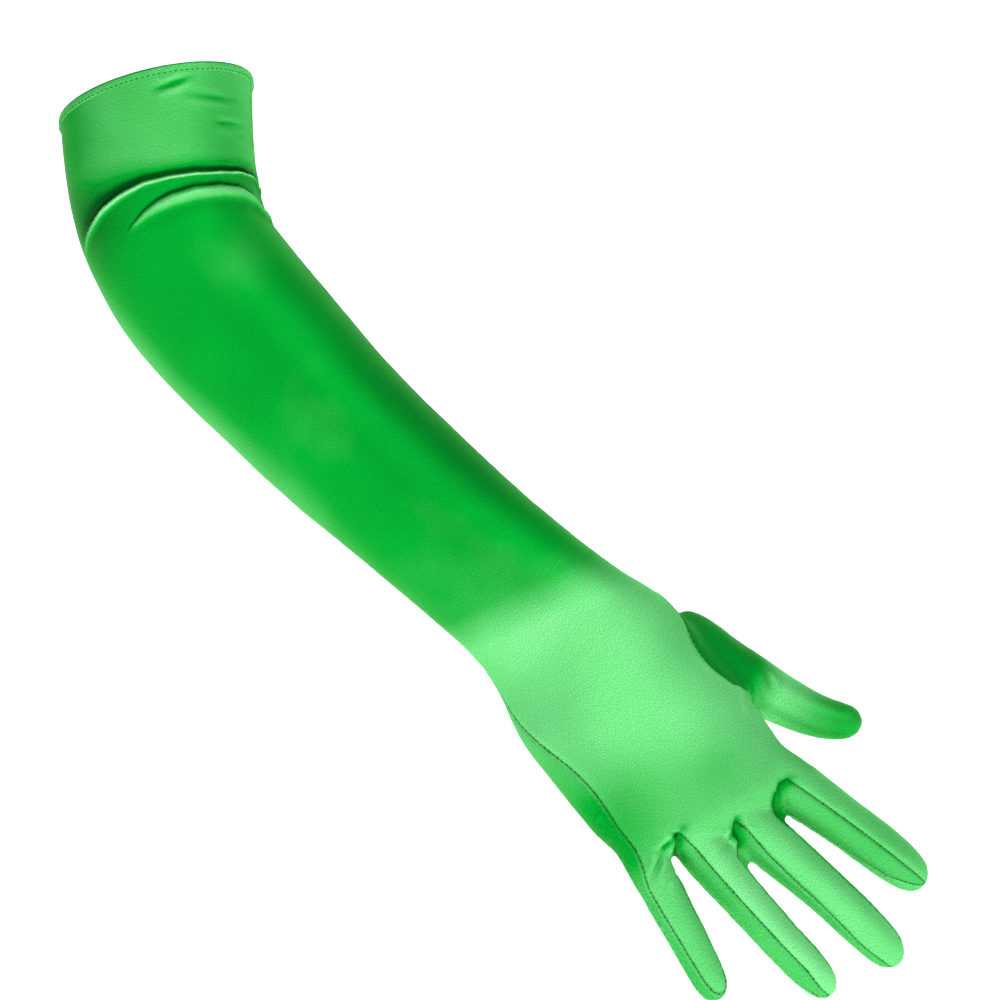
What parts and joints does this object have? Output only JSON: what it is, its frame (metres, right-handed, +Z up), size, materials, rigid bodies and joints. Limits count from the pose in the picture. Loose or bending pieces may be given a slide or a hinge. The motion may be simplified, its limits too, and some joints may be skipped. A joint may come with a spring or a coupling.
{
  "type": "long satin glove",
  "caption": "Over-the-elbow satin dress glove for the right arm, worn with the elbow bent and the fingers spread, hollow and open at the top.",
  "frame": {"origin": "centre of the arm opening, in the plane of its turned edge", "axes": "+Z up along the upper arm, +X to the side that the hand points to, -Y out of the back of the hand toward the viewer"},
  "size_m": [0.3527, 0.0872, 0.374],
  "materials": {
    "satin": "bright green satin with a soft sheen"
  },
  "bodies": {
    "root": {"top_hem": "satin", "back_panel": "satin", "palm_panel": "satin", "thumb": "satin", "fourchette_index_middle": "satin", "fourchette_middle_ring": "satin", "fourchette_ring_little": "satin"}
  },
  "joints": []
}
